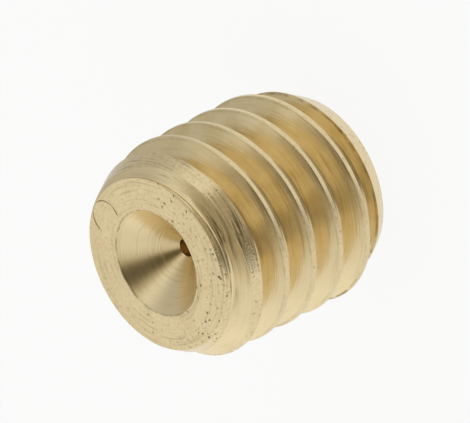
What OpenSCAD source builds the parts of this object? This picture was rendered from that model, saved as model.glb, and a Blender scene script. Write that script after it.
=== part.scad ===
// Short brass adjusting screw, turned from bar in one piece. The thread runs the whole
// length and out through a chamfer at each end. The upper end has a coned cup with a small
// centre hole, and the lower end has a hexagon socket for the key.
// The screw stands on its lower end. The origin is the middle of that end face, +Z is the
// axis of the screw, and every length is in millimetres.

/* [Thread] */
// Nominal diameter of the thread
thread_d = 6; // [5:0.1:12]
// Distance along the axis from one crest to the next
pitch = 1; // [0.7:0.05:1.5]
// How far the crests lie inside the nominal radius
crest_drop = 0.058; // [0.02:0.002:0.1]
// How much deeper the groove is cut than the basic thread form
groove_drop = 0.05; // [0:0.002:0.06]
// Height of the lowest crest above the lower face, on the +X side
crest_start = 0.492; // [0:0.004:0.98]

/* [Body] */
// Length of the screw from face to face
length = 6; // [5:0.5:20]
// How far the upper face reaches outside the bottom of the groove, on the radius
upper_face_margin = 0.075; // [0.01:0.005:0.2]
// How far the lower face reaches outside the bottom of the groove, on the radius
lower_face_margin = 0.055; // [0.01:0.005:0.2]
// Angle between the upper chamfer and the axis
upper_chamfer_angle = 28; // [25:1:50]
// Angle between the lower chamfer and the axis
lower_chamfer_angle = 28; // [25:1:50]

/* [Cup] */
// Diameter of the cup at its mouth
cup_d = 2.93; // [2:0.01:3.6]
// Angle of the cone across its axis
cup_angle = 94; // [80:1:120]
// Diameter of the centre hole
pilot_d = 0.5; // [0.3:0.02:1]
// Depth of the centre hole below the cone
pilot_depth = 0.8; // [0.3:0.05:1.2]
// Angle of the drill's point across its axis
pilot_point_angle = 118; // [100:1:140]

/* [Socket] */
// Width of the hexagon across its flats
socket_width = 3; // [2:0.05:3.2]
// Depth of the hexagon
socket_depth = 2.2; // [1.5:0.05:2.5]
// How far the mouth's chamfer reaches outside the hexagon's corners, on the radius
socket_mouth_margin = 0.08; // [0.02:0.01:0.12]
// Angle of the mouth's chamfer across its axis
socket_mouth_angle = 110; // [80:1:130]
// How much smaller than the hexagon's width the drilled hole is, on the diameter
socket_drill_allowance = 0.16; // [0.05:0.01:0.5]
// Depth of the drilled hole below the hexagon
socket_drill_extra = 0.25; // [0.1:0.05:0.5]
// Angle of that drill's point across its axis
socket_point_angle = 118; // [100:1:140]

/* [Hidden] */

// Steps round a full turn, and steps on each half of the rounded bottom of the groove
columns = 84;
round_steps = 2;
// Length by which each cut reaches past the face that it opens through
overrun = 0.5;
// Steps round the exact turned surfaces
turned_fn = 96;

// Basic thread form: an equilateral triangle one pitch wide, with its point rounded
flank_angle = 60;
triangle_h = pitch * sin(flank_angle);
groove_point_r = thread_d / 2 - triangle_h * 7 / 8 - groove_drop;
groove_round = triangle_h / 6;
root_r = groove_point_r + groove_round;
crest_r = thread_d / 2 - crest_drop;
crest_flat = pitch - 2 * (crest_r - groove_point_r) / tan(flank_angle);

// Ends of the body and of the hexagon
upper_face_r = root_r + upper_face_margin;
lower_face_r = root_r + lower_face_margin;
blank_r = thread_d / 2;
cup_depth = (cup_d - pilot_d) / 2 / tan(cup_angle / 2);
socket_corner_r = socket_width / 2 / cos(30);
socket_drill_r = (socket_width - socket_drill_allowance) / 2;

// One turn of the thread as [height, radius]: the crest's flat, then the groove's round
turn_profile = concat(
    [[-crest_flat / 2, crest_r], [crest_flat / 2, crest_r]],
    [for (i = [-round_steps:round_steps])
        let (a = flank_angle * i / round_steps)
        [pitch / 2 + groove_round * sin(a), root_r + groove_round * (1 - cos(a))]]
);
turn_rows = len(turn_profile);

// The thread starts two turns below the lowest crest and ends past the upper face
turns = ceil(length / pitch) + 3;
rows = turn_rows * turns;
first_crest = crest_start - 2 * pitch;

function thread_point(column, row) =
    let (
        a = 360 * column / columns,
        p = turn_profile[row % turn_rows],
        turn = floor(row / turn_rows) + column / columns
    )
    [p[1] * cos(a), p[1] * sin(a), first_crest + turn * pitch + p[0]];

// A full turn ends one pitch higher, so the last column is the first one, a turn further on
function point_index(column, row) =
    column == columns ? point_index(0, row + turn_rows)
    : row < rows ? column * rows + row
    : columns * rows + row - rows;

// Threaded bar, longer than the screw at both ends
module threaded_bar() {
    lower_tip = columns * rows + turn_rows;
    upper_tip = lower_tip + 1;
    points = concat(
        [for (column = [0:columns - 1]) for (row = [0:rows - 1]) thread_point(column, row)],
        [for (row = [rows:rows + turn_rows - 1]) thread_point(0, row)],
        [[0, 0, first_crest], [0, 0, first_crest + (turns + 1) * pitch]]
    );
    lower_rim = concat(
        [for (column = [0:columns - 1]) point_index(column, 0)],
        [for (row = [turn_rows:-1:1]) point_index(0, row)]
    );
    upper_rim = concat(
        [for (column = [0:columns - 1]) point_index(column, rows - 1)],
        [for (row = [rows + turn_rows - 1:-1:rows]) point_index(0, row)]
    );
    sides = [
        for (column = [0:columns - 1]) for (row = [0:rows - 2])
        let (
            a = point_index(column, row),
            b = point_index(column + 1, row),
            c = point_index(column + 1, row + 1),
            d = point_index(column, row + 1)
        )
        each [[a, d, b], [b, d, c]]
    ];
    lower_cap = [for (i = [0:len(lower_rim) - 1])
        [lower_tip, lower_rim[i], lower_rim[(i + 1) % len(lower_rim)]]];
    upper_cap = [for (i = [0:len(upper_rim) - 1])
        [upper_tip, upper_rim[(i + 1) % len(upper_rim)], upper_rim[i]]];
    polyhedron(points = points, faces = concat(sides, lower_cap, upper_cap));
}

// Bar cut to length, with its two chamfers
module blank() {
    upper_chamfer = (blank_r - upper_face_r) / tan(upper_chamfer_angle);
    lower_chamfer = (blank_r - lower_face_r) / tan(lower_chamfer_angle);
    rotate_extrude($fn = turned_fn)
        polygon([
            [0, 0],
            [lower_face_r, 0],
            [blank_r, lower_chamfer],
            [blank_r, length - upper_chamfer],
            [upper_face_r, length],
            [0, length]
        ]);
}

// Cup and centre hole, as one turned cut from the upper face
module cup_cut() {
    pilot_bottom = length - cup_depth - pilot_depth;
    pilot_point = pilot_d / 2 / tan(pilot_point_angle / 2);
    rotate_extrude($fn = turned_fn)
        polygon([
            [0, pilot_bottom - pilot_point],
            [pilot_d / 2, pilot_bottom],
            [pilot_d / 2, length - cup_depth],
            [cup_d / 2 + overrun * tan(cup_angle / 2), length + overrun],
            [0, length + overrun]
        ]);
}

// Drilled hole, hexagon and chamfered mouth, cut from the lower face
module socket_cut() {
    drill_depth = socket_depth + socket_drill_extra;
    drill_point = socket_drill_r / tan(socket_point_angle / 2);
    mouth_r = socket_corner_r + socket_mouth_margin;
    mouth_slope = tan(socket_mouth_angle / 2);
    translate([0, 0, -overrun])
        cylinder(h = socket_depth + overrun, r = socket_corner_r, $fn = 6);
    rotate_extrude($fn = turned_fn)
        polygon([
            [0, -overrun],
            [socket_drill_r, -overrun],
            [socket_drill_r, drill_depth],
            [0, drill_depth + drill_point]
        ]);
    rotate_extrude($fn = turned_fn)
        polygon([
            [0, -overrun],
            [mouth_r + overrun * mouth_slope, -overrun],
            [0, mouth_r / mouth_slope]
        ]);
}

module adjusting_screw() {
    color("burlywood")
        difference() {
            intersection() {
                threaded_bar();
                blank();
            }
            cup_cut();
            socket_cut();
        }
}

adjusting_screw();
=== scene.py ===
import math

import bmesh
import bpy
from mathutils import Matrix, Vector


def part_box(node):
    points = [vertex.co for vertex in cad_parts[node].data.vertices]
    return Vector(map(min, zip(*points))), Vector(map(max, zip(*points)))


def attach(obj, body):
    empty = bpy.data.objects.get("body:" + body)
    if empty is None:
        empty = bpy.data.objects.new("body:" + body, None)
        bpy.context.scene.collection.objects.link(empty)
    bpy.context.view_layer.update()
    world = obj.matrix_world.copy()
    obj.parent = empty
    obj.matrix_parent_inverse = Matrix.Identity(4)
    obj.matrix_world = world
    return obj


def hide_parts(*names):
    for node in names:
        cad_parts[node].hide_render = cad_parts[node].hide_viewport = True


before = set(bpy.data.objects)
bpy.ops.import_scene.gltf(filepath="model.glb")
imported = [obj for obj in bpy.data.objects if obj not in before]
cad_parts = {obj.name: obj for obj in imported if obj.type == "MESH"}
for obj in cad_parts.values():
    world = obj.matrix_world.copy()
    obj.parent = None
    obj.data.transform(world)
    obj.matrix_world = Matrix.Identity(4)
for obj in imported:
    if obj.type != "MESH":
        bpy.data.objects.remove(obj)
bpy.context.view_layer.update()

# The bar: brass rod turned to a little under the thread's 6 mm, faced at both ends and
# chamfered. Its length and the crests' radius are the frame's. Every size in this section and
# the next ones is in millimetres, and the finished mesh is scaled to metres once.
mm = 0.001
screw_low, screw_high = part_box("adjusting_screw")
length = round((screw_high.z - screw_low.z) / mm, 3)
crest_r = round(screw_high.x / mm, 3)
nominal_r = 3.0
upper_face_r = 2.412
lower_face_r = 2.392
chamfer_angle = math.radians(28)
chamfer_slope = math.tan(chamfer_angle)
turned_steps = 240
overrun = 0.5
weld = 1e-5


def mesh_object(name, bm):
    mesh = bpy.data.meshes.new(name)
    bm.to_mesh(mesh)
    bm.free()
    piece = bpy.data.objects.new(name, mesh)
    bpy.context.scene.collection.objects.link(piece)
    return piece


def drawn(bm, outline):
    """A line of edges through points of (radius, height), on the +X side of the axis."""
    points = [bm.verts.new((r, 0, z)) for r, z in outline]
    return points + [bm.edges.new(pair) for pair in zip(points, points[1:])]


def turned(name, outline):
    """A closed solid turned round +Z from an outline that starts and ends on the axis."""
    bm = bmesh.new()
    bmesh.ops.spin(
        bm, geom=drawn(bm, outline), cent=(0, 0, 0), axis=(0, 0, 1),
        dvec=(0, 0, 0), angle=math.tau, steps=turned_steps, use_merge=True,
    )
    bmesh.ops.remove_doubles(bm, verts=bm.verts, dist=weld)
    bmesh.ops.recalc_face_normals(bm, faces=bm.faces)
    return mesh_object(name, bm)


def cut(piece, tool, operation="DIFFERENCE"):
    """Cuts piece with the closed solid tool, and throws the tool away."""
    modifier = piece.modifiers.new("cut", "BOOLEAN")
    modifier.operation = operation
    modifier.solver = "MANIFOLD"
    modifier.object = tool
    graph = bpy.context.evaluated_depsgraph_get()
    result = bpy.data.meshes.new_from_object(piece.evaluated_get(graph))
    piece.modifiers.clear()
    piece.data = result
    bpy.data.objects.remove(tool)


blank = turned("blank", [
    (0, -overrun),
    (lower_face_r - overrun * chamfer_slope, -overrun),
    (nominal_r, (nominal_r - lower_face_r) / chamfer_slope),
    (nominal_r, length - (nominal_r - upper_face_r) / chamfer_slope),
    (upper_face_r - overrun * chamfer_slope, length + overrun),
    (0, length + overrun),
])

# The thread: M6x1, right-hand, cut the whole length of the bar with a die, so that the groove
# runs out through both chamfers. The flanks meet at 60 degrees, the groove's bottom is round,
# and the crests keep a narrow flat of the bar with its corners rounded off.
pitch = 1.0
crest_start = 0.492
crest_round = 0.05
groove_drop = 0.05
flank = math.radians(60)
triangle_h = pitch * math.sin(flank)
groove_point_r = nominal_r - triangle_h * 7 / 8 - groove_drop
groove_round = triangle_h / 6
groove_half = (crest_r - groove_point_r) / math.tan(flank)
crest_half = pitch / 2 - groove_half
thread_steps = 240
turns_below = 2
turns_above = 1
turn_weld = 2e-4
rim_reach = 1e-4


def thread_outline():
    """One pitch of the thread as (radius, height), from the middle of one crest to the next."""
    round_steps = 5
    corner_steps = 4
    flank_steps = 5
    tangent = crest_round * math.tan(flank / 2)
    corner = [
        (crest_r - crest_round * (1 - math.cos(a)), crest_half - tangent + crest_round * math.sin(a))
        for a in (flank * i / corner_steps for i in range(corner_steps + 1))
    ]
    bottom = [
        (groove_point_r + groove_round * (2 - math.cos(a)), pitch / 2 + groove_round * math.sin(a))
        for a in (flank * i / round_steps for i in range(-round_steps, round_steps + 1))
    ]
    start, end = Vector(corner[-1]), Vector(bottom[0])
    side = [tuple(start.lerp(end, i / flank_steps)) for i in range(1, flank_steps)]
    first = [(crest_r, 0)] + corner + side
    return first + bottom + [(r, pitch - z) for r, z in reversed(first)]


def everything(bm):
    return bm.verts[:] + bm.edges[:] + bm.faces[:]


bm = bmesh.new()
first_crest = crest_start - turns_below * pitch
bmesh.ops.spin(
    bm, geom=drawn(bm, [(r, first_crest + z) for r, z in thread_outline()]),
    cent=(0, 0, 0), axis=(0, 0, 1), dvec=(0, 0, pitch / thread_steps),
    angle=math.tau, steps=thread_steps,
)
one_turn = everything(bm)
for turn in range(1, int(length / pitch) + turns_below + turns_above):
    copy = bmesh.ops.duplicate(bm, geom=one_turn)["geom"]
    risen = [v for v in copy if isinstance(v, bmesh.types.BMVert)]
    bmesh.ops.translate(bm, verts=risen, vec=(0, 0, turn * pitch))
bmesh.ops.remove_doubles(bm, verts=bm.verts, dist=turn_weld)
for height, side in ((0, -1), (length, 1)):
    bmesh.ops.bisect_plane(
        bm, geom=everything(bm), plane_co=(0, 0, height), plane_no=(0, 0, side), clear_outer=True,
    )
    rim = [e for e in bm.edges if e.is_boundary and abs(e.verts[0].co.z - height) < rim_reach]
    bmesh.ops.edgeloop_fill(bm, edges=rim)
bmesh.ops.recalc_face_normals(bm, faces=bm.faces)
screw = mesh_object("screw", bm)
cut(screw, blank, "INTERSECT")

# The cup: a cone of 94 degrees turned into the upper face for the screw's rim to bite with,
# around the small hole that the centre drill leaves at its bottom.
cup_r = 1.465
cup_angle = math.radians(94)
cup_slope = math.tan(cup_angle / 2)
pilot_r = 0.25
pilot_depth = 0.8
cup_depth = (cup_r - pilot_r) / cup_slope
drill_angle = math.radians(118)
drill_point_slope = math.tan(drill_angle / 2)
cut(screw, turned("cup_cut", [
    (0, length - cup_depth - pilot_depth - pilot_r / drill_point_slope),
    (pilot_r, length - cup_depth - pilot_depth),
    (pilot_r, length - cup_depth),
    (cup_r + overrun * cup_slope, length + overrun),
    (0, length + overrun),
]))

# The scribed mark: a tool has scratched an open circle into the upper face, beside the cup.
# It is a groove as wide as a hair, swept round most of a turn.
mark_centre = Vector((1.64, 1.0, length))
mark_r = 0.47
mark_width = 0.04
mark_depth = 0.014
mark_start = math.radians(-100)
mark_sweep = math.radians(220)
mark_steps = 60
bm = bmesh.new()
section = [(-mark_width, mark_depth), (mark_width, mark_depth), (0, -mark_depth)]
bm.faces.new([bm.verts.new((mark_r + across, 0, up)) for across, up in section])
bmesh.ops.rotate(bm, verts=bm.verts, cent=(0, 0, 0), matrix=Matrix.Rotation(mark_start, 3, "Z"))
bmesh.ops.spin(
    bm, geom=bmesh.ops.duplicate(bm, geom=everything(bm))["geom"], cent=(0, 0, 0), axis=(0, 0, 1),
    dvec=(0, 0, 0), angle=mark_sweep, steps=mark_steps,
)
bmesh.ops.remove_doubles(bm, verts=bm.verts, dist=weld)
bmesh.ops.translate(bm, verts=bm.verts, vec=mark_centre)
bmesh.ops.recalc_face_normals(bm, faces=bm.faces)
cut(screw, mesh_object("mark", bm))

# The socket for a 3 mm key, in the lower face: a drilled hole, the hexagon pressed into it by
# a punch, and a chamfer round its mouth.
socket_width = 3.0
socket_depth = 2.2
socket_sides = 6
socket_drill_r = 1.42
socket_drill_depth = 2.45
socket_corner_r = socket_width / 2 / math.cos(math.pi / socket_sides)
mouth_margin = 0.08
mouth_r = socket_corner_r + mouth_margin
mouth_angle = math.radians(110)
mouth_slope = math.tan(mouth_angle / 2)
bm = bmesh.new()
bmesh.ops.create_cone(
    bm, cap_ends=True, segments=socket_sides, radius1=socket_corner_r, radius2=socket_corner_r,
    depth=socket_depth + overrun, matrix=Matrix.Translation((0, 0, (socket_depth - overrun) / 2)),
)
hexagon = mesh_object("hexagon", bm)
drill = turned("drill", [
    (0, -overrun),
    (socket_drill_r, -overrun),
    (socket_drill_r, socket_drill_depth),
    (0, socket_drill_depth + socket_drill_r / drill_point_slope),
])
mouth = turned("mouth", [
    (0, -overrun),
    (mouth_r + overrun * mouth_slope, -overrun),
    (0, mouth_r / mouth_slope),
])
for tool in (hexagon, drill, mouth):
    cut(screw, tool)

sharp_angle = math.radians(24)
screw.data.transform(Matrix.Scale(mm, 4))
screw.data.shade_smooth()
screw.data.set_sharp_from_angle(angle=sharp_angle)
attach(screw, "root")
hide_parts("adjusting_screw")

# The finish: bright brass as the tools left it, with fine marks that run round the screw, or
# along the thread in the groove. Grime lies in the marks, and painted shade darkens the corners,
# the rims and the front of the chamfer. Tarnish and brown stains lie in the groove, the stains
# partly painted shade and one side lighter as painted light, and small dark pits on the faces.
brass_colour = (0.83, 0.685, 0.41, 1)
mottle_colour = (0.71, 0.57, 0.33, 1)
tarnish_colour = (0.60, 0.44, 0.17, 1)
# The grime colour also paints shade
grime_and_shade_colour = (0.28, 0.22, 0.11, 1)
# The stain colour partly paints shade
stain_and_shade_colour = (0.42, 0.28, 0.10, 1)
pit_colour = (0.29, 0.205, 0.09, 1)
hole_colour = (0.86, 0.66, 0.36, 1)
brass_roughness = 0.19
cup_ring_r = 0.63
ledge_depth = 0.7
skin = 0.02


class Value:
    """An output of a node, with arithmetic that adds Math nodes. With no socket, it adds nodes."""

    def __init__(self, tree, socket=None):
        self.tree = tree
        self.socket = socket

    def node(self, kind, inputs, output=0, **settings):
        """Adds a node of a kind with its settings, and fills its inputs, by name or number."""
        made = self.tree.nodes.new("ShaderNode" + kind)
        for name, setting in settings.items():
            setattr(made, name, setting)
        for name, value in inputs.items():
            if isinstance(value, Value):
                self.tree.links.new(value.socket, made.inputs[name])
            else:
                made.inputs[name].default_value = value
        return Value(self.tree, made.outputs[output] if made.outputs else None)

    def math(self, operation, *values):
        return self.node("Math", dict(enumerate(values)), operation=operation)

    def __add__(self, other):
        return self.math("ADD", self, other)

    def __radd__(self, other):
        return self.math("ADD", other, self)

    def __sub__(self, other):
        return self.math("SUBTRACT", self, other)

    def __rsub__(self, other):
        return self.math("SUBTRACT", other, self)

    def __mul__(self, other):
        return self.math("MULTIPLY", self, other)

    def __rmul__(self, other):
        return self.math("MULTIPLY", other, self)

    def rise(self, low, high):
        """A smooth step from 0 at low to 1 at high, or back where low is the higher."""
        inputs = {"Value": self, "From Min": low, "From Max": high}
        return self.node("MapRange", inputs, interpolation_type="SMOOTHSTEP")

    def near(self, middle, far, close):
        """1 where this value is less than close from middle, and 0 where it is past far."""
        return self.math("ABSOLUTE", self - middle).rise(far, close)

    def noise(self, scale, detail=2.0):
        """Noise from 0 to 1 at the place that this value gives, with scale grains to a millimetre."""
        return self.node("TexNoise", {"Vector": self, "Scale": scale, "Detail": detail})

    def mix(self, first, second):
        """The first colour where this value is 0 and the second where it is 1."""
        return self.node("Mix", {0: self, 6: first, 7: second}, output=2, data_type="RGBA")


brass = bpy.data.materials.new("brass")
brass.use_nodes = True
shader = brass.node_tree.nodes["Principled BSDF"]
for name, value in {"Metallic": 1.0, "Anisotropic": 0.7, "Anisotropic Rotation": 0.25}.items():
    shader.inputs[name].default_value = value
nodes = Value(brass.node_tree)
place = nodes.node("Mapping", {
    "Vector": nodes.node("TexCoord", {}, output="Object"),
    "Scale": (1 / mm, 1 / mm, 1 / mm),
})
x, y, z = (nodes.node("SeparateXYZ", {0: place}, output=axis) for axis in "XYZ")
from_top = length - z
radius = nodes.math("SQRT", x * x + y * y)
turn = nodes.math("ARCTAN2", y, x) * (1 / math.tau)
across = nodes.math("DIVIDE", x, radius)
ahead = nodes.math("DIVIDE", y * -1, radius)


def facing(azimuth):
    """From -1 to 1, how far a place is round to an azimuth, in degrees from -Y towards +X."""
    a = math.radians(azimuth)
    return ahead * math.cos(a) + across * math.sin(a)


# Each surface of the screw, as a mask that is 1 on it and 0 from about a skin beneath it
on_face = from_top.rise(0.012, 0.002)
on_ends = on_face + z.rise(0.012, 0.002)
cup_side = radius - (cup_r - from_top * cup_slope)
past_cup = from_top.rise(cup_depth, cup_depth + skin)
on_cup = cup_side.rise(0.03, 0.01) * (1 - past_cup)
in_hole = radius.rise(pilot_r + skin, pilot_r) * past_cup
upper_side = radius - (upper_face_r + from_top * chamfer_slope)
lower_side = radius - (lower_face_r + z * chamfer_slope)
on_chamfer = upper_side.rise(-skin, -0.008) * (1 - on_face)
on_lower_chamfer = lower_side.rise(-skin, -0.008) * (1 - on_ends)
under_crest = crest_r - radius
on_crest = under_crest.rise(skin, 0.006)
outside = radius.rise(2.2, 2.25) * (1 - on_ends)
in_groove = outside * (1 - on_chamfer) * (1 - on_lower_chamfer) * (1 - on_crest)
near_end = from_top.rise(ledge_depth, ledge_depth / 2)
on_ledge = near_end * in_groove
in_thread = in_groove * (1 - near_end)
near_start = z.rise(1.3, 0.5)
on_flats = on_ends + on_crest + on_chamfer

# Marks of the turning tool, by distance along the outline, and of the die, along the groove
drift = x * 0.05 + y * 0.035
lathe_place = nodes.node("CombineXYZ", {"X": radius, "Y": z, "Z": drift})
lathe_marks = lathe_place.noise(15.0, 1.5) - 0.5
helix = nodes.math("FRACT", z - turn * pitch - crest_start)
thread_place = nodes.node("CombineXYZ", {"X": radius, "Y": helix, "Z": z})
thread_marks = thread_place.noise(14.0) - 0.5
cup_ring = radius.near(cup_ring_r, 0.035, 0.0) * on_cup

# Grime lies in the marks, and at the front of the chamfer, towards the camera, it is deepened
# with painted shade; the dark lines along rims and corners are painted shade
front = facing(-18).rise(0.85, 0.99)
on_lip = from_top.rise(0.3, 0.16) * 0.75
grime_and_shade_share = (on_chamfer + on_ledge) * (0.4 + front * 0.7) * (1 - on_lip)
grime_and_shade_share = grime_and_shade_share + on_ends * 0.3 + on_cup * 0.15
mark_grime_and_shade = lathe_marks.rise(0.02, 0.12) * place.noise(1.3).rise(0.25, 0.6) * grime_and_shade_share
# Painted shade: a dark line along the faces' rims and under the ledge's groove, only on the side a
# little round from the camera towards +X
rim_shade = radius.rise(2.3, 2.42) * on_ends * 0.4 + helix.rise(0.5, 0.56) * on_ledge * 0.6
rim_shade = rim_shade * facing(27).rise(0.86, 0.98)
# Painted shade: thin dark lines just under the crests and along the lower chamfer's edge, broken up
# by noise. The rest of the thread's darkening is grime in the die's marks, more by the lower end
crest_corner = under_crest.rise(0.07, 0.045) * under_crest.rise(0.015, 0.03)
chamfer_corner = lower_side.rise(-0.12, -0.06) * lower_side.rise(-0.01, -0.03)
corner_shade = (crest_corner * 0.4 + chamfer_corner) * place.noise(3.0, 4.0).rise(0.35, 0.65)
thread_grime_and_shade = thread_marks.rise(0.03, 0.2) * (0.15 + near_start * 0.2) + corner_shade * 0.7
# Painted shade: a broken dark line round the mouth of the cup
cup_edge = radius.near(cup_r, 0.04, 0.01) * from_top.rise(0.05, 0.03)
cup_rim_shade = cup_edge * place.noise(4.0, 3.0).rise(0.4, 0.65) * 0.5
# Grime in the marks, together with the painted shade along rims, corners, the cup's mouth and the
# chamfer's front
grime_and_shade = mark_grime_and_shade + rim_shade + thread_grime_and_shade * in_thread + cup_rim_shade

# Pits lie in clusters, most of them on the side of the cup that faces -X and -Y
jitter = nodes.node("TexNoise", {"Vector": place, "Scale": 12.0, "Detail": 2.0}, output="Color")
shaken = nodes.node("VectorMath", {0: jitter, 1: (0.1, 0.1, 0.1), 2: place}, operation="MULTIPLY_ADD")
cells = {"Vector": shaken, "Scale": 6.0}
cell_pick = nodes.node("RGBToBW", {0: nodes.node("TexVoronoi", cells, output="Color")})
worn_side = (x * -0.6 - y * 0.8).rise(-1.4, 1.8) * 0.75 + 0.25
pitted = place.noise(0.9).rise(0.4, 0.6) * worn_side * nodes.math("GREATER_THAN", cell_pick, 0.55)
pits = nodes.node("TexVoronoi", cells, output="Distance").rise(0.32, 0.16) * pitted
specks = place.noise(11.0, 1.0).rise(0.6, 0.76) * (worn_side * 0.4 + 0.3)
pits = nodes.math("MAXIMUM", pits, specks * 0.7)
pits = pits * (on_ends + on_chamfer * 0.8 + on_lower_chamfer * 0.5 + on_crest * 0.3 + in_groove * 0.1)

# The scribed mark's groove, without the face around it
mark_inputs = {0: place, 1: tuple(mark_centre)}
mark_distance = nodes.node("VectorMath", mark_inputs, output="Value", operation="DISTANCE")
scribed = mark_distance.near(mark_r, 0.035, 0.01)
scribed = scribed * from_top.rise(0.05, 0.03) * from_top.rise(0.001, 0.004)

# Tarnish is deepest along streaks, at the groove's bottom, by the lower end and low in the cup
streaks = nodes.node("Mapping", {"Vector": thread_place, "Scale": (1, 1, 2)}).noise(7.0)
tarnish_and_painted_light = place.noise(1.6, 4.0).rise(0.3, 0.75) * (0.1 + in_thread * 0.35 + on_ends * 0.12)
for patch in (
    streaks.rise(0.48, 0.72) * in_thread * 0.35,
    radius.rise(2.55, 2.42) * in_thread * 0.22,
    near_start * in_thread * 0.35,
    radius.rise(0.95, 0.45) * on_cup * 0.3,
):
    tarnish_and_painted_light = nodes.math("MAXIMUM", tarnish_and_painted_light, patch)
# Painted light: the groove on the side facing -X keeps little tarnish, so that side is lighter
tarnish_and_painted_light = tarnish_and_painted_light * (1 - facing(-90).rise(0.4, 0.8) * in_thread * 0.8)
# Brown stains along the streaks in the groove, only on the side towards the camera, where they also
# deepen the shade there: partly stain, partly painted shade
stain_and_shade = facing(-11.5).rise(0.82, 0.99) * streaks.rise(0.53, 0.65) * in_thread * 0.35
mottled = place.noise(10.0).rise(0.35, 0.7) * on_flats * 0.6

colour = mottled.mix(brass_colour, mottle_colour)
for share, over in (
    (tarnish_and_painted_light, tarnish_colour),
    (stain_and_shade, stain_and_shade_colour),
    (grime_and_shade, grime_and_shade_colour),
    (in_hole, hole_colour),
    (pits, pit_colour),
    (scribed * 0.48, pit_colour),
):
    colour = share.mix(colour, over)
roughness = brass_roughness + on_ends * 0.1 + on_crest * 0.07 + on_cup * 0.06
roughness = roughness + pits * 0.3 + in_hole * 0.1

# The relief of the marks and the pits, in millimetres
relief = (
    lathe_marks * (on_ends * 0.003 + on_cup * 0.007 + (on_chamfer + on_ledge) * 0.014)
    + thread_marks * in_thread * 0.005
    + place.noise(8.0, 3.0) * on_flats * 0.004
    - cup_ring * 0.0025
    - pits * 0.009
)
bump = nodes.node("Bump", {"Height": relief, "Strength": 1.0, "Distance": mm})
for name, value in {"Base Color": colour, "Roughness": roughness, "Normal": bump}.items():
    brass.node_tree.links.new(value.socket, shader.inputs[name])
screw.data.materials.clear()
screw.data.materials.append(brass)

# The light: a white tent all round, dimmer at the opening for the camera, at a stand beside it,
# at the roof and at two sides, and brighter at one. Each is a soft round lobe about a direction,
# and what the opening and the roof let in is a warmer white.
white_colour = (1, 1, 1, 1)
warm_colour = (1, 0.82, 0.49, 1)
tent_level = 0.895
# Azimuth, elevation, inner and outer radius in degrees, and the share of the level taken away
warm_lobes = {
    "opening": (2, 28, 28, 41, 0.5),
    "lens": (-2, 51, 5, 24, 0.78),
    "roof": (-5, 76, 0, 42, 0.56),
}
other_lobes = {
    "stand": (-31, 2, 17, 25, 0.54),
    "foot of the stand": (-26, -33, 0, 21, 0.3),
    "dim side": (124, 12, 18, 63, 0.37),
    "upper side": (-97, 36, 10, 40, 0.09),
    "brighter side": (-145, 15, 10, 50, -0.1),
}


def direction(azimuth, elevation):
    """A direction, with its azimuth from -Y towards +X, in degrees."""
    a, e = math.radians(azimuth), math.radians(elevation)
    return (math.sin(a) * math.cos(e), -math.cos(a) * math.cos(e), math.sin(e))


def dimmed(ray, level, lobes):
    """The level in the direction of ray, less the share that each lobe takes away."""
    for azimuth, elevation, inner, outer, share in lobes.values():
        inputs = {0: ray, 1: direction(azimuth, elevation)}
        aligned = ray.node("VectorMath", inputs, output="Value", operation="DOT_PRODUCT")
        lobe = aligned.rise(math.cos(math.radians(outer)), math.cos(math.radians(inner)))
        level = level * (1 - lobe * share)
    return level


def tent(ray):
    """The colour and the strength that the tent has in the direction of ray."""
    opened = dimmed(ray, 1.0, warm_lobes)
    return {
        "Color": opened.mix(warm_colour, white_colour),
        "Strength": dimmed(ray, opened * tent_level, other_lobes),
    }


world = bpy.data.worlds.new("tent")
bpy.context.scene.world = world
world.use_nodes = True
world.node_tree.nodes.clear()
nodes = Value(world.node_tree)
ray = nodes.node("TexCoord", {}, output="Generated")
light = nodes.node("Background", tent(ray))
backdrop = nodes.node("Background", {"Color": white_colour, "Strength": 1.0})
camera_ray = nodes.node("LightPath", {}, output="Is Camera Ray")
seen = nodes.node("MixShader", {0: camera_ray, 1: light, 2: backdrop})
nodes.node("OutputWorld", {"Surface": seen})

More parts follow.
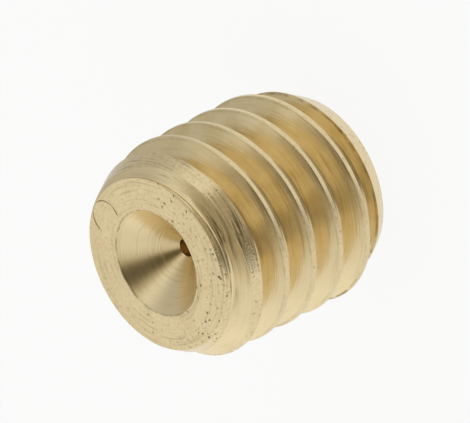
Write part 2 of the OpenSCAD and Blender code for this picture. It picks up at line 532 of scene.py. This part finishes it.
# The floor: a plain white table, white to the camera but for the screw's soft shadow. In the
# metal it is as bright as the tent is in the direction from the screw's upper end to it.
floor_half = 0.6
floor_colour = (0.92, 0.92, 0.92, 1)
floor_glow = 0.9
upper_end = (0, 0, 4.5 * mm)
bm = bmesh.new()
bmesh.ops.create_grid(bm, x_segments=1, y_segments=1, size=floor_half)
floor = mesh_object("floor", bm)
floor_white = bpy.data.materials.new("floor_white")
floor_white.use_nodes = True
floor_white.node_tree.nodes.clear()
nodes = Value(floor_white.node_tree)
spot = nodes.node("TexCoord", {}, output="Object")
below = nodes.node("VectorMath", {0: spot, 1: upper_end}, operation="SUBTRACT")
ray = nodes.node("VectorMath", {0: below}, operation="NORMALIZE")
camera_ray = nodes.node("LightPath", {}, output="Is Camera Ray")
glossy_ray = nodes.node("LightPath", {}, output="Is Glossy Ray")
paint = nodes.node("BsdfDiffuse", {"Color": floor_colour})
glow = nodes.node("Emission", {"Color": white_colour, "Strength": 1.0})
mirrored = nodes.node("Emission", tent(ray))
seen = nodes.node("MixShader", {0: camera_ray * floor_glow, 1: paint, 2: glow})
seen = nodes.node("MixShader", {0: glossy_ray, 1: seen, 2: mirrored})
nodes.node("OutputMaterial", {"Surface": seen})
floor.data.materials.append(floor_white)

# The camera stands where the photograph's did, a long way off with a long lens, and is rolled,
# because the screw stands here on the end that lies away from the camera there.
camera_elevation = math.radians(38.74)
camera_roll = math.radians(-116.96)
camera_distance = 0.42
camera_aim = Vector((0.267, -1.516, 4.110)) * mm
view_width = 12.14 * mm
camera_data = bpy.data.cameras.new("camera")
camera_data.lens = camera_data.sensor_width * camera_distance / view_width
camera_data.clip_start = 0.01
camera = bpy.data.objects.new("camera", camera_data)
bpy.context.scene.collection.objects.link(camera)
toward = Vector((0, -math.cos(camera_elevation), math.sin(camera_elevation)))
tilt = Matrix.Rotation(math.pi / 2 - camera_elevation, 4, "X") @ Matrix.Rotation(camera_roll, 4, "Z")
camera.matrix_world = Matrix.Translation(camera_aim + toward * camera_distance) @ tilt
bpy.context.scene.camera = camera
bpy.context.scene.view_settings.view_transform = "Standard"
